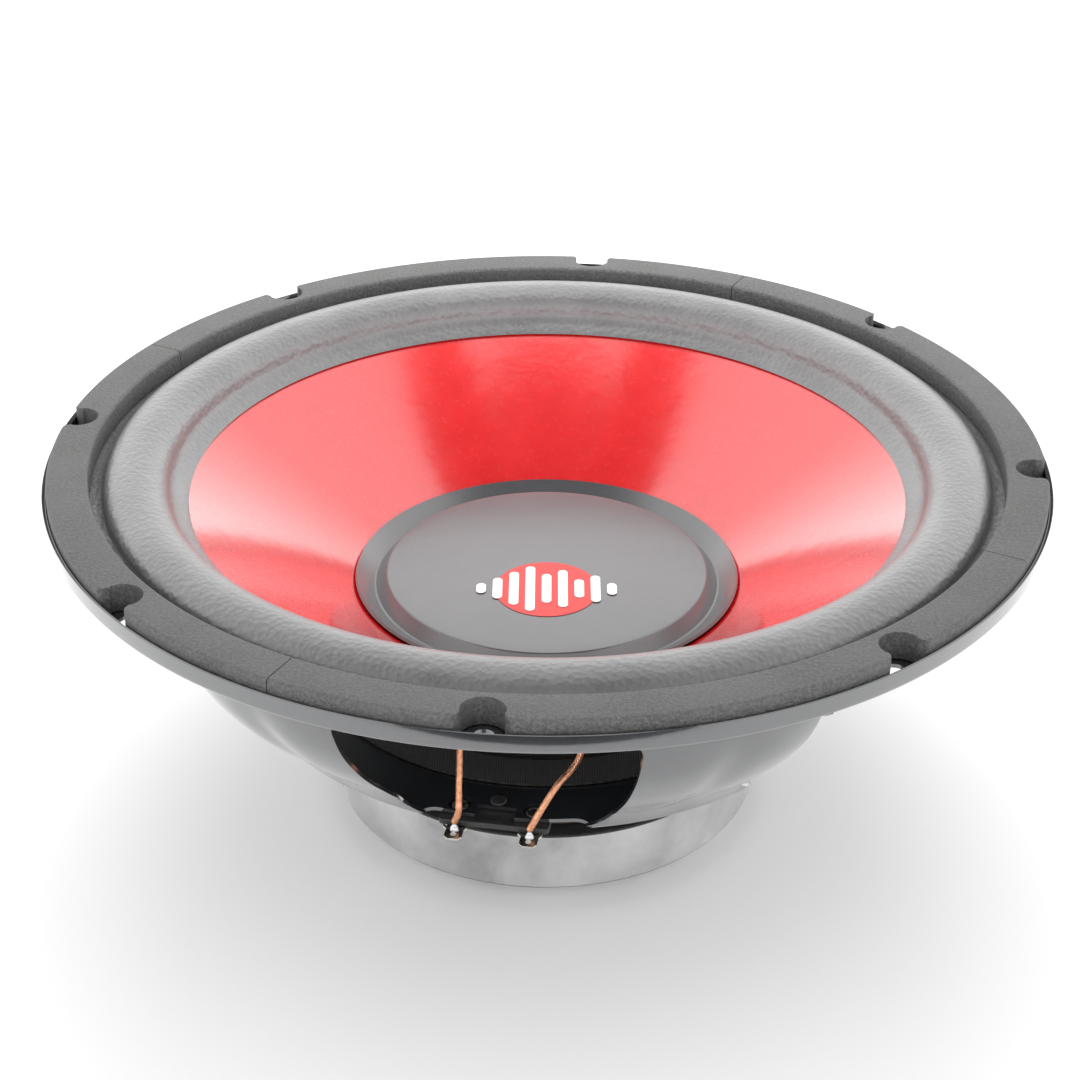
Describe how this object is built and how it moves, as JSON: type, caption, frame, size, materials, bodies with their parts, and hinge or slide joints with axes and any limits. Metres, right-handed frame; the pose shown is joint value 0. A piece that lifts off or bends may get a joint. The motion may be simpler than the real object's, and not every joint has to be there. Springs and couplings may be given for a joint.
{
  "type": "car subwoofer speaker driver",
  "caption": "Round car subwoofer driver with a red cone, grey dust cap, foam edge and gasket, windowed black pressed-steel basket and ring magnet; its cone travels on a coil and spider.",
  "frame": {"origin": "centre of the overall box at its lowest face, on the cone's axis under the back plate", "axes": "+Z along the cone's axis, out of its front; -Y towards the side with the terminals"},
  "size_m": [0.3124, 0.3124, 0.1277],
  "materials": {
    "basket_black": "gloss black paint on pressed steel",
    "ferrite": "satin, mottled grey ceramic",
    "plate_steel": "dull plated steel",
    "gasket_foam": "matte fine-grained closed-cell foam",
    "edge_foam": "leathery foam, soft sheen",
    "red_cone": "glossy red film over paper",
    "cap_grey": "satin dark grey moulding",
    "former_film": "amber film",
    "winding_copper": "enamelled copper wire",
    "spider_cloth": "black resin-treated cloth",
    "adhesive": "set black glue",
    "fibre_board": "hard fibre board",
    "tinned_metal": "tinned brass",
    "solder": "bright solder",
    "braid_copper": "braided copper",
    "screen_black": "black mesh"
  },
  "bodies": {
    "frame_and_motor": {"back_plate": "plate_steel", "vent_screen": "screen_black", "magnet": "ferrite", "top_plate": "plate_steel", "motor_rivet_1": "plate_steel", "motor_rivet_2": "plate_steel", "motor_rivet_3": "plate_steel", "motor_rivet_4": "plate_steel", "basket": "basket_black", "gasket_segment_1": "gasket_foam", "gasket_segment_2": "gasket_foam", "gasket_segment_3": "gasket_foam", "gasket_segment_4": "gasket_foam", "edge_surround": "edge_foam", "spider": "spider_cloth", "terminal_board": "fibre_board", "terminal_positive": "tinned_metal", "terminal_negative": "tinned_metal", "terminal_rivet_positive": "tinned_metal", "terminal_rivet_negative": "tinned_metal", "board_rivet": "tinned_metal", "solder_positive": "solder", "solder_negative": "solder", "lead_positive": "braid_copper", "lead_negative": "braid_copper"},
    "cone_assembly": {"cone": "red_cone", "dust_cap": "cap_grey", "neck_adhesive": "adhesive", "voice_coil_former": "former_film", "voice_coil_winding": "winding_copper", "lead_eyelet_positive": "tinned_metal", "lead_eyelet_negative": "tinned_metal"}
  },
  "joints": [
    {"name": "cone_travel", "type": "slide", "parent": "frame_and_motor", "child": "cone_assembly", "axis": [0, 0, 1], "range_m": [-0.008, 0.008], "stiffness_N_per_m": 4000, "deforming": ["edge_surround", "spider", "lead_positive", "lead_negative"]}
  ]
}
